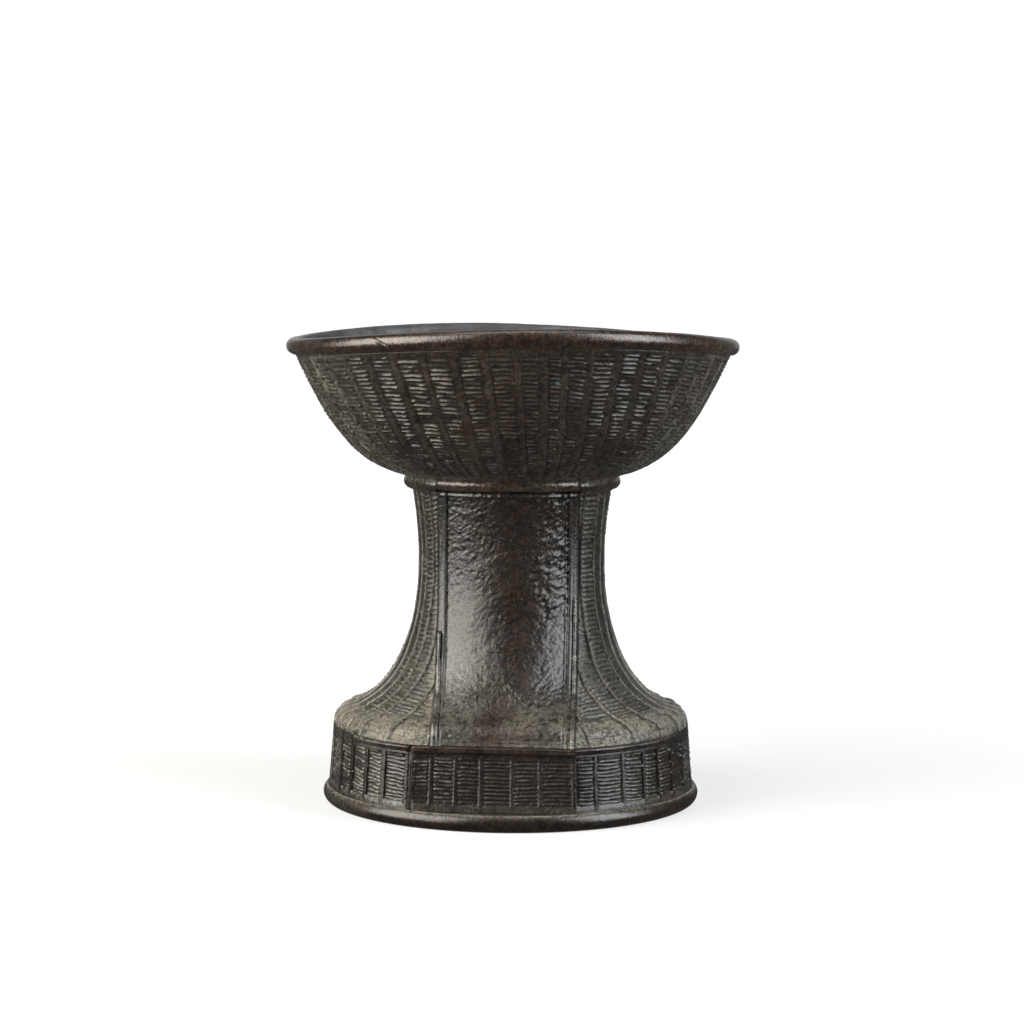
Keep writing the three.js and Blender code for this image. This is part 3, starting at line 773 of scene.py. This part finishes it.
@dataclass
class DrumWall:
    """What sets one of the drum's walls apart. half: half a splint's width. drop: from the top
    edge to the fields. roll: width of the top edge's roll. solder: its soldered side, if any."""

    half: float
    last_half: float = 0.9
    drop: float = 3.9
    roll: float = 2.8
    solder: int = 0
    more_worn: float = 0.0
    lean: float = 0.0


DRUM_WALLS = {
    "front": DrumWall(half=0.5, drop=4.5, roll=3.6, solder=-1, more_worn=0.25),
    "right": DrumWall(half=0.6),
    "left": DrumWall(half=1.1, last_half=2.8, solder=1, lean=-0.4),
}


def drum_centres(which):
    """Splint angles of a wall, as seen in front and even behind."""
    if which == "front":
        shares = np.array(FACET_SPLINTS) * 2 - 1
        return FACET_TURN + np.arctan(shares * math.tan(FACET_HALF))
    if which == "right":
        seen = [RIGHT_CORNER, *np.radians(RIGHT_SPLINTS)]
        rest = uneven(seen[-1], math.pi, 10, 0.012, 91)
        return np.array([*seen, *rest[1:]])
    seen = [*np.radians(LEFT_SPLINTS), LEFT_CORNER]
    rest = uneven(-math.pi, seen[0], 12, 0.012, 92)
    return np.array([*rest[:-1], *seen])


def drum_radius(level):
    share = (level - DRUM_FOOT) / (DRUM_TOP - DRUM_FOOT)
    return DRUM_FOOT_RADIUS + (DRUM_TOP_RADIUS - DRUM_FOOT_RADIUS) * share


def make_drum_wall(name, which):
    wall = DRUM_WALLS[which]
    foot, top = DRUM_FOOT + 3.0, DRUM_TOP - wall.drop
    before = [DRUM_FOOT, DRUM_FOOT + 0.3, DRUM_FOOT + 1.4, foot - 0.4]
    edge = DRUM_TOP - np.array([3.4, 2.9, 2.6, 2.3, 2.0, 1.7, 1.4, 1.1, 0.8, 0.5, 0.25, 0.0, -0.2])
    rows = Rows(before, foot, top, [top + 0.4, *edge], DRUM_WEAVE, DRUM_STROKE)
    radii = drum_radius(rows.run)
    centres = drum_centres(which)
    halves = np.full(len(centres), wall.half)
    halves[0] = 0.7
    halves[-1] = wall.last_half
    columns = Columns(centres, halves, radii, DRUM_WEAVE)
    gap_low, gap_high = (CLOSED + CORNER_SOLDER / 2 * (wall.solder == side) for side in (-1, 1))
    low_end = centres[0] + gap_low / radii[:, None]
    high_end = centres[-1] - gap_high / radii[:, None]
    angle = np.clip(columns.angle, low_end, high_end)
    border = np.minimum(angle - low_end, high_end - angle) * radii[:, None]
    fade = smooth(0, 0.8, border)
    shape = basketwork(rows, columns, DRUM_WEAVE, radii, fade, wall.more_worn, wall.lean)
    run, height, rise, crest = shape
    if which == "front":
        height, rise = 0.45 * height, 0.25 + 0.75 * rise

    # The roll along the top edge fades out towards the back, and a soldered end is rounded.
    seen = smooth(-1.06, -0.86, angle) * (1 - smooth(1.0, 1.3, angle))
    roll = 1.3 * ridge(run - (DRUM_TOP + 0.35 - wall.roll / 2), wall.roll)
    roll += 0.5 * ridge(run - (DRUM_TOP - 0.4), 1.2)
    roll *= (0.05 + 0.95 * seen) * (1 + 0.2 * noise(on_circle(angle, radii[:, None], 0 * run), 6, 83))
    to_solder = {-1: angle - low_end, 1: high_end - angle, 0: 9 + 0 * angle}[wall.solder]
    to_solder = to_solder * radii[:, None]
    round_end = -0.35 * (1 - blunt(to_solder, 0.9))
    bumps = cast_lumps(on_circle(angle, radii[:, None], run), 0.9, 80) * smooth(0, 0.8, run - DRUM_FOOT)
    outer = on_plan(angle, drum_radius(run) + (height + roll + round_end + bumps), run)
    inner_level = np.clip(run, DRUM_FOOT, DRUM_TOP)
    inner = on_plan(angle, drum_radius(inner_level) - DRUM_WALL, inner_level)
    top_edge = smooth(DRUM_TOP - 3, DRUM_TOP - 1, run)
    groove = 1 - smooth(DRUM_FOOT, DRUM_FOOT + 4, run)
    front = np.cos(angle - FACET_TURN) > 0.85
    worn = 0.2 + (0.1 + 0.8 * top_edge) * front
    far_left = 1 - smooth(-0.95, -0.55, angle)
    crest = crest * (1 - 0.55 * front * smooth(-0.34, -0.14, angle)) * (1 + 0.5 * far_left)
    in_field = smooth(0, 0.4, columns.inside)
    rise = rise * (0.55 + 0.45 * np.maximum(in_field, top_edge))
    dust = (0.25 + 0.6 * far_left) * (0.2 + 0.8 * in_field) * (1 - front)
    dust = np.clip(dust + 0.7 * groove, 0, 1)
    # The top edge's roll is marked as a crest, a painted highlight, fainter on the facet.
    crisp = bell(run - DRUM_TOP, -0.6, 0.6) * seen
    painted_highlight = crisp * (0.75 + 0.5 * noise(outer, 3.0, 84)) * (1 - 0.45 * front)
    stroke = np.maximum(crest, painted_highlight)
    return plate_body(name, outer, inner, rise=rise, stroke=stroke, dust=dust, worn=worn)


def make_corner_solder():
    """Filler in the opened corner: a lumpy strip, sunk between the rounded ends of the walls."""
    half = CORNER_SOLDER / 2 - 0.02
    xs = np.linspace(-half, half, 15)
    levels = np.linspace(DRUM_FOOT, DRUM_TOP - 0.2, 70)
    x, level = np.meshgrid(xs, levels)
    crack = bell(x + 0.1 - 0.25 * noise(stack(0 * x, 0, level), 5, 96), 0, 0.2)
    crack *= 1 - smooth(DRUM_TOP - 8, DRUM_TOP - 3, level)
    proud = -0.25 - 0.3 * crack + 0.3 * noise(stack(x, 0, level), 3.5, 95)
    proud = proud - 0.5 * (1 - smooth(DRUM_FOOT, DRUM_FOOT + 1, level))

    def sheet(outwards):
        radius = drum_radius(level) + outwards
        angle = LEFT_CORNER + x / radius
        return on_plan(angle, radius, level)

    return plate_body("corner_filler", sheet(proud), sheet(-DRUM_WALL), dust=0.5)


# Foot ring

BEAD_POINTS = 22
FOOT_COLUMNS = 320


def make_foot_ring():
    """The bead that the vessel stands on, and the flange inside it that carries the drum."""
    heel = math.acos(FOOT_HEEL / 2 / FOOT_BEAD)
    centre = np.array([FOOT_RADIUS - FOOT_BEAD, FOOT_BEAD * math.sin(heel)])
    clear = DRUM_FOOT_RADIUS + SEAM
    crest = math.acos((clear - centre[0]) / FOOT_BEAD)
    arc = np.linspace(-heel, crest, BEAD_POINTS)
    bead = centre + FOOT_BEAD * np.stack([np.cos(arc), np.sin(arc)], 1)
    under = FOOT_LEDGE - FOOT_FLANGE
    inner = centre[0] - FOOT_HEEL / 2
    ledge = [(clear, FOOT_LEDGE), (FOOT_OPENING, FOOT_LEDGE), (FOOT_OPENING, under)]
    flat = [*ledge, (inner - SEAM, under), (inner, 0)]
    section = join(bead, flat)
    angles = np.linspace(0, TURN, FOOT_COLUMNS, endpoint=False)
    rings = on_circle(angles[None], section[:, :1], section[:, 1:])
    round_part = rings[:BEAD_POINTS]
    swell = 0.12 * noise(round_part, 16, 97) + 0.06 * noise(round_part, 5, 98)
    step = np.arange(BEAD_POINTS)[:, None]
    lift = np.clip(step / 6, 0, 1) * np.clip((BEAD_POINTS - 1 - step) / 4, 0, 1)
    out = np.stack([np.sin(angles), -np.cos(angles)], 1)[None]
    round_part[..., :2] += (swell * lift)[..., None] * out
    round_part[..., 2] += 0.5 * swell * lift
    high = smooth(0.3, 1.2, arc)[:, None]
    lodged = smooth(0.72 * crest, crest, arc)[:, None]
    turned = np.degrees(angles)[None]
    far_left = smooth(255, 290, turned) * (1 - smooth(300, 325, turned))
    plain = np.full((len(flat), FOOT_COLUMNS), 0.5)
    dust = join(0.5 * high + 1.5 * lodged + 0.5 * far_left, plain)
    return ring_body("foot_bead", rings, rise=0.8, worn=0.4, dust=dust)


# Materials


class Nodes:
    """A material's node tree, with short calls for the nodes it is made of."""

    def __init__(self, name):
        self.material = bpy.data.materials.new(name)
        self.material.use_nodes = True
        self.tree = self.material.node_tree
        self.shader = self.tree.nodes["Principled BSDF"]
        self.places = self.add("ShaderNodeTexCoord").outputs["Object"]

    def add(self, kind, inputs=(), **settings):
        """A new node. inputs are (name or number, value) pairs."""
        node = self.tree.nodes.new(kind)
        for name, value in settings.items():
            setattr(node, name, value)
        for name, value in inputs:
            self.feed(node.inputs[name], value)
        return node

    def feed(self, socket, value):
        if isinstance(value, bpy.types.NodeSocket):
            self.tree.links.new(value, socket)
        else:
            socket.default_value = value

    def give(self, name, value):
        """Sets or links one of the shader's own inputs."""
        self.feed(self.shader.inputs[name], value)

    def mark(self, name):
        return self.add("ShaderNodeAttribute", attribute_name=name).outputs["Fac"]

    def noise(self, scale, detail=3.0, rough=0.55, stretch=(1, 1, 1)):
        mapping = self.add("ShaderNodeMapping", [("Vector", self.places), ("Scale", stretch)])
        inputs = [("Vector", mapping.outputs[0]), ("Scale", scale), ("Detail", detail)]
        return self.add("ShaderNodeTexNoise", [*inputs, ("Roughness", rough)]).outputs["Fac"]

    def math(self, operation, a, b=0.0, clamp=False):
        inputs = enumerate((a, b))
        return self.add("ShaderNodeMath", inputs, operation=operation, use_clamp=clamp).outputs[0]

    def times(self, a, b, clamp=False):
        return self.math("MULTIPLY", a, b, clamp)

    def ramp(self, value, low, high, start=0.0, stop=1.0):
        """value from low to high, taken to start to stop and held there."""
        inputs = enumerate((value, low, high, start, stop))
        return self.add("ShaderNodeMapRange", inputs, interpolation_type="SMOOTHSTEP").outputs[0]

    def mix(self, share, a, b):
        a, b = (v if isinstance(v, bpy.types.NodeSocket) else (*v, 1.0) for v in (a, b))
        inputs = [("Factor", share), (6, a), (7, b)]
        return self.add("ShaderNodeMix", inputs, data_type="RGBA").outputs[2]

    def bump(self, height, distance, strength, normal=None):
        inputs = [("Height", height), ("Distance", distance), ("Strength", strength)]
        if normal is not None:
            inputs.append(("Normal", normal))
        return self.add("ShaderNodeBump", inputs).outputs["Normal"]


# Linear colours of the patina, of the dust and the spots on it, and of the pale metal used for worn
# crests and painted highlights
BLACK = (0.0045, 0.004, 0.0035)
BROWN = (0.021, 0.0150, 0.0104)
COOL = (0.018, 0.0195, 0.022)
INSIDE = (0.083, 0.083, 0.087)
INSIDE_PALE = (0.146, 0.144, 0.145)
RED_BROWN = (0.068, 0.037, 0.022)
RUBBED_AND_HIGHLIGHT = (0.270, 0.250, 0.220)
DUST = (0.196, 0.182, 0.140)
VERDIGRIS = (0.090, 0.160, 0.120)
ORANGE = (0.300, 0.110, 0.040)


def bronze(name, rough=0.36, dusty=1.0, red=1.0, grain=1.0, cool=0.5, rubbed_and_highlight=1.0, wax=0.6, speck=0.3):
    """Patinated bronze: dark in the hollows, with black dirt and painted shade there, bright on the
    strokes' crests, with worn metal and a painted highlight there, red-brown where it is handled,
    with dust in the recesses and on what faces up."""
    n = Nodes(name)
    rise, stroke, dust, worn, cooled = map(n.mark, ("rise", "stroke", "dust", "worn", "cool"))
    grit = n.noise(1050, 4.0, 0.7)
    pit = n.ramp(n.noise(780, 2.0, 0.5), 0.30, 0.42)
    low = n.math("SUBTRACT", 1.0, rise)
    calm = n.math("SUBTRACT", 1.0, n.times(cooled, 0.8))

    # Dark metal with blue-grey patches, grey inside the dish and red where it is handled
    colour = n.mix(n.ramp(n.noise(42, 3.0), 0.35, 0.65), BLACK, BROWN)
    cools = n.times(n.ramp(n.noise(55, 4.0, 0.6), 0.48, 0.62), cool)
    streaks = n.ramp(n.noise(70, 3.0, 0.6, (1, 1, 0.12)), 0.40, 0.66)
    inside = n.mix(streaks, INSIDE, INSIDE_PALE)
    colour = n.mix(n.times(cooled, 0.9), n.mix(cools, colour, COOL), inside)
    reds = n.times(n.ramp(n.noise(280, 6.0, 0.7), 0.42, 0.64, 0.22, 0.85), worn)
    colour = n.mix(n.times(reds, red, clamp=True), colour, RED_BROWN)

    # The gaps, and all that is marked low, are darkened towards black: painted shade in the recesses,
    # with black dirt. Dust lies on what faces up and on the rest of a dusty place, kept thin in the gaps
    # so that the painted shade stays.
    colour = n.mix(n.times(low, 0.45), colour, BLACK)
    normal = n.add("ShaderNodeNewGeometry").outputs["Normal"]
    facing = n.add("ShaderNodeSeparateXYZ", [(0, normal)])
    lying = n.math("ADD", 0.35, n.times(n.ramp(facing.outputs["Z"], 0.1, 0.9), 0.65))
    lying = n.times(lying, n.ramp(n.noise(480, 5.0, 0.75), 0.36, 0.58, 0.05, 1.25))
    lying = n.times(lying, n.ramp(n.noise(80, 4.0, 0.6), 0.35, 0.62, 0.6, 1.1))
    dirt = n.times(n.times(lying, dust), dusty, clamp=True)
    dirt = n.times(dirt, n.math("SUBTRACT", 1.0, n.times(low, 0.75)))
    colour = n.mix(dirt, colour, DUST)

    # Black and bright grains, and pits
    colour = n.mix(n.times(n.ramp(grit, 0.38, 0.55, 0.7, 0.0), calm), colour, BLACK)
    colour = n.mix(n.ramp(grit, 0.60, 0.72, 0.0, speck), colour, RUBBED_AND_HIGHLIGHT)
    pitting = n.times(n.math("SUBTRACT", 1.0, pit), calm)
    colour = n.mix(n.times(pitting, 0.7), colour, BLACK)

    # Crests lightened towards pale metal in places, partly worn metal and partly a painted highlight,
    # and a few spots of verdigris and of orange
    crest = n.times(n.ramp(stroke, 0.45, 1.0), n.ramp(n.noise(1900, 2.0, 0.6), 0.40, 0.58, 0.1, 1.0))
    crest = n.times(crest, n.ramp(n.noise(950, 2.0, 0.6), 0.40, 0.54, 0.25, 1.0))
    crest = n.times(crest, rubbed_and_highlight, clamp=True)
    colour = n.mix(n.times(crest, 0.65), colour, RUBBED_AND_HIGHLIGHT)
    green = n.times(n.ramp(n.noise(170, 2.0), 0.73, 0.78), 0.55)
    colour = n.mix(green, colour, VERDIGRIS)
    orange = n.times(n.ramp(n.noise(210, 2.0, 0.5, (1, 1, 1.3)), 0.75, 0.80), 0.35)
    colour = n.mix(orange, colour, ORANGE)
    n.give("Base Color", colour)

    # Bare metal shows on the crests, and dirt is dull.
    bare = n.math("ADD", 0.45, n.times(crest, 0.40))
    n.give("Metallic", n.math("SUBTRACT", bare, n.times(dirt, 0.6), clamp=True))
    roughness = n.ramp(n.noise(140, 4.0, 0.6), 0.3, 0.7, rough - 0.08, rough + 0.10)
    for more in (n.times(dirt, 0.45), n.ramp(grit, 0.3, 0.7, 0.12, -0.12), n.times(cooled, 0.2)):
        roughness = n.math("ADD", roughness, more)
    n.give("Roughness", n.math("MINIMUM", roughness, 0.92))
    n.give("Coat Weight", wax)
    n.give("Coat Roughness", 0.14)
    n.give("Specular IOR Level", 0.3)
    rough_skin = n.bump(n.times(grit, calm), 0.00034 * grain, 0.8)
    pitted = n.bump(n.times(pit, calm), 0.00020 * grain, 0.8, rough_skin)
    swells = n.times(n.noise(520, 4.0, 0.6), calm)
    n.give("Normal", n.bump(swells, 0.0008 * grain, 0.6, pitted))
    grains = n.bump(n.times(n.noise(1500, 3.0, 0.6), calm), 0.00022 * grain, 0.8)
    n.give("Coat Normal", n.bump(swells, 0.0003 * grain, 0.5, grains))
    return n.material


def line_inside(piece):
    """Gives the faces marked cool, the smooth inside of the dish, a material of their own."""
    mesh = piece.data
    mesh.materials.append(finishes["inside_bronze"])
    cool = np.zeros(len(mesh.vertices), np.float32)
    mesh.attributes["cool"].data.foreach_get("value", cool)
    for face in mesh.polygons:
        face.material_index = int(cool[list(face.vertices)].min() > 0.5)


def finish_piece(piece, slot, node):
    """Gives a piece the material of its slot, puts it under the root body and hides the part of
    model.glb that it stands for.
    """
    piece.data.materials.append(finishes[slot])
    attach(piece, "root")
    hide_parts(node)
    return piece


# Studio

CAMERA_AWAY = 1.157
CAMERA_HEIGHT = 0.2223
CAMERA_TURN = math.radians(3)
CAMERA_PITCH = math.radians(4.77)
CAMERA_ROLL = math.radians(0.3)
FOCAL_PIXELS = 2660
FRAME_PIXELS = 1024
SENSOR = 36.0


def place_camera():
    data = bpy.data.cameras.new("camera")
    data.sensor_width = SENSOR
    data.lens = SENSOR * FOCAL_PIXELS / FRAME_PIXELS
    camera = new_object("camera", data)
    turn = Matrix.Rotation(CAMERA_TURN, 4, "Z")
    tilt = Matrix.Rotation(math.pi / 2 - CAMERA_PITCH, 4, "X")
    roll = Matrix.Rotation(CAMERA_ROLL, 4, "Z")
    away = (CAMERA_AWAY * math.sin(CAMERA_TURN), -CAMERA_AWAY * math.cos(CAMERA_TURN), CAMERA_HEIGHT)
    camera.matrix_world = Matrix.Translation(away) @ turn @ tilt @ roll
    bpy.context.scene.camera = camera


def softbox(name, azimuth, elevation, away, width, height, radiance, colour=(1, 1, 1)):
    """A soft area light that looks at the middle of the vessel."""
    data = bpy.data.lights.new(name, "AREA")
    data.shape = "RECTANGLE"
    data.size, data.size_y = width, height
    data.energy = radiance * math.pi * width * height
    data.color = colour
    lamp = new_object(name, data)
    a, e = math.radians(azimuth), math.radians(elevation)
    way = Vector((math.sin(a) * math.cos(e), -math.cos(a) * math.cos(e), math.sin(e)))
    lamp.location = Vector((0, 0, 0.1)) + way * away
    lamp.rotation_mode = "QUATERNION"
    lamp.rotation_quaternion = way.to_track_quat("Z", "Y")


def stage_material(name, grey, glow=None):
    """A pale material that glows. Without a glow it is the floor's, which glows white away from
    the vessel, so that no edge shows behind it."""
    n = Nodes(name)
    if glow is None:
        away = n.add("ShaderNodeVectorMath", [(0, n.places)], operation="LENGTH")
        glow = n.ramp(away.outputs["Value"], 0.12, 0.9, 0.62, 1.0)
    n.give("Base Color", (grey, grey, grey, 1))
    n.give("Roughness", 0.8)
    n.give("Emission Color", (1, 1, 1, 1))
    n.give("Emission Strength", glow)
    return n.material


def stage_sheet(name, corners, material, mirrored):
    """A flat part of the studio. mirrored: whether it shows in the vessel's gloss."""
    mesh = bpy.data.meshes.new(name)
    mesh.from_pydata(corners, [], [(0, 1, 2, 3)])
    mesh.materials.append(material)
    sheet = new_object(name, mesh)
    sheet.visible_glossy = mirrored
    return sheet


ROOM = 3.0
ROOM_HEIGHT = 4.0
# The grey sheet that only the vessel's gloss shows
BACKDROP_HALF = 1.2
BACKDROP_AWAY = 2.9
BACKDROP_HEIGHT = 3.0


def light_studio():
    world = bpy.data.worlds.new("world")
    bpy.context.scene.world = world
    world.use_nodes = True
    background = world.node_tree.nodes["Background"]
    background.inputs["Color"].default_value = (1, 1, 1, 1)
    background.inputs["Strength"].default_value = 0.06
    softbox("left_box", -63, 24, 1.5, 1.5, 1.6, 7.2, (1.0, 0.97, 0.9))
    softbox("right_box", 69, 24, 1.5, 0.9, 1.6, 7.0, (0.93, 0.97, 1.0))
    softbox("top_box", 0, 84, 1.4, 1.0, 0.8, 2.0)
    floor = stage_material("floor_white", 0.3)
    wall = stage_material("wall_white", 0.2, 1.0)
    r, h = ROOM, ROOM_HEIGHT
    corners = [(-r, -r), (r, -r), (r, r), (-r, r)]
    stage_sheet("floor", [(*corner, 0) for corner in corners], floor, False)
    for i, (a, b) in enumerate(zip(corners, corners[1:] + corners[:1])):
        sheet = stage_sheet(f"wall_{i}", [(*a, 0), (*b, 0), (*b, h), (*a, h)], wall, False)
        sheet.visible_diffuse = False
        sheet.visible_shadow = False
    grey = stage_material("backdrop_grey", 0.2, 0.22)
    w, y, z = BACKDROP_HALF, BACKDROP_AWAY, BACKDROP_HEIGHT
    sheet = stage_sheet("backdrop", [(-w, y, 0), (w, y, 0), (w, y, z), (-w, y, z)], grey, True)
    sheet.visible_camera = False
    bpy.context.scene.view_settings.view_transform = "Standard"


# Assembly

place_camera()
light_studio()

# How the bronze looks in each of the record's slots, and inside the dish
LOOKS = {
    "bowl_bronze": dict(rough=0.40, rubbed_and_highlight=0.75),
    "lip_bronze": dict(rough=0.26, dusty=0.8, red=1.35, grain=0.6, wax=1.0, speck=0.2),
    "stem_bronze": dict(rough=0.42, dusty=1.4, wax=0.5, speck=0.45),
    "tablet_bronze": dict(rough=0.26, dusty=1.1, grain=0.8, cool=0.6, wax=0.8, speck=0.1),
    "drum_bronze": dict(dusty=0.9, rubbed_and_highlight=1.5, wax=0.8, speck=0.15),
    "foot_bronze": dict(rough=0.29, red=1.1, grain=0.5, wax=0.7, speck=0.15),
    "solder": dict(rough=0.4, dusty=0.6, cool=1.0, wax=0.4),
    "inner_bronze": dict(rough=0.6, dusty=0.8, wax=0.0),
    "inside_bronze": dict(rough=0.42, dusty=0.6, grain=0.3, wax=0.1, speck=0.1),
}
finishes = {name: bronze(name, **look) for name, look in LOOKS.items()}

line_inside(finish_piece(make_bowl(), "bowl_bronze", "bowl_wall"))
line_inside(finish_piece(make_lip(), "lip_bronze", "bowl_lip"))
finish_piece(make_stem_wall("stem_left", -1), "stem_bronze", "stem_wall_left")
finish_piece(make_stem_wall("stem_right", 1), "stem_bronze", "stem_wall_right")
finish_piece(make_tablet(), "tablet_bronze", "front_tablet")
finish_piece(make_collar_bead(), "lip_bronze", "collar_bead")
finish_piece(make_collar_band(), "lip_bronze", "collar_band")
finish_piece(make_drum_wall("drum_facet", "front"), "drum_bronze", "drum_front")
finish_piece(make_drum_wall("drum_left_wall", "left"), "drum_bronze", "drum_left")
finish_piece(make_drum_wall("drum_right_wall", "right"), "drum_bronze", "drum_right")
finish_piece(make_corner_solder(), "solder", "corner_solder")
finish_piece(make_foot_ring(), "foot_bronze", "foot_ring")

neck_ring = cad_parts["neck_ring"]
neck_ring.data.materials.clear()
neck_ring.data.materials.append(finishes["inner_bronze"])
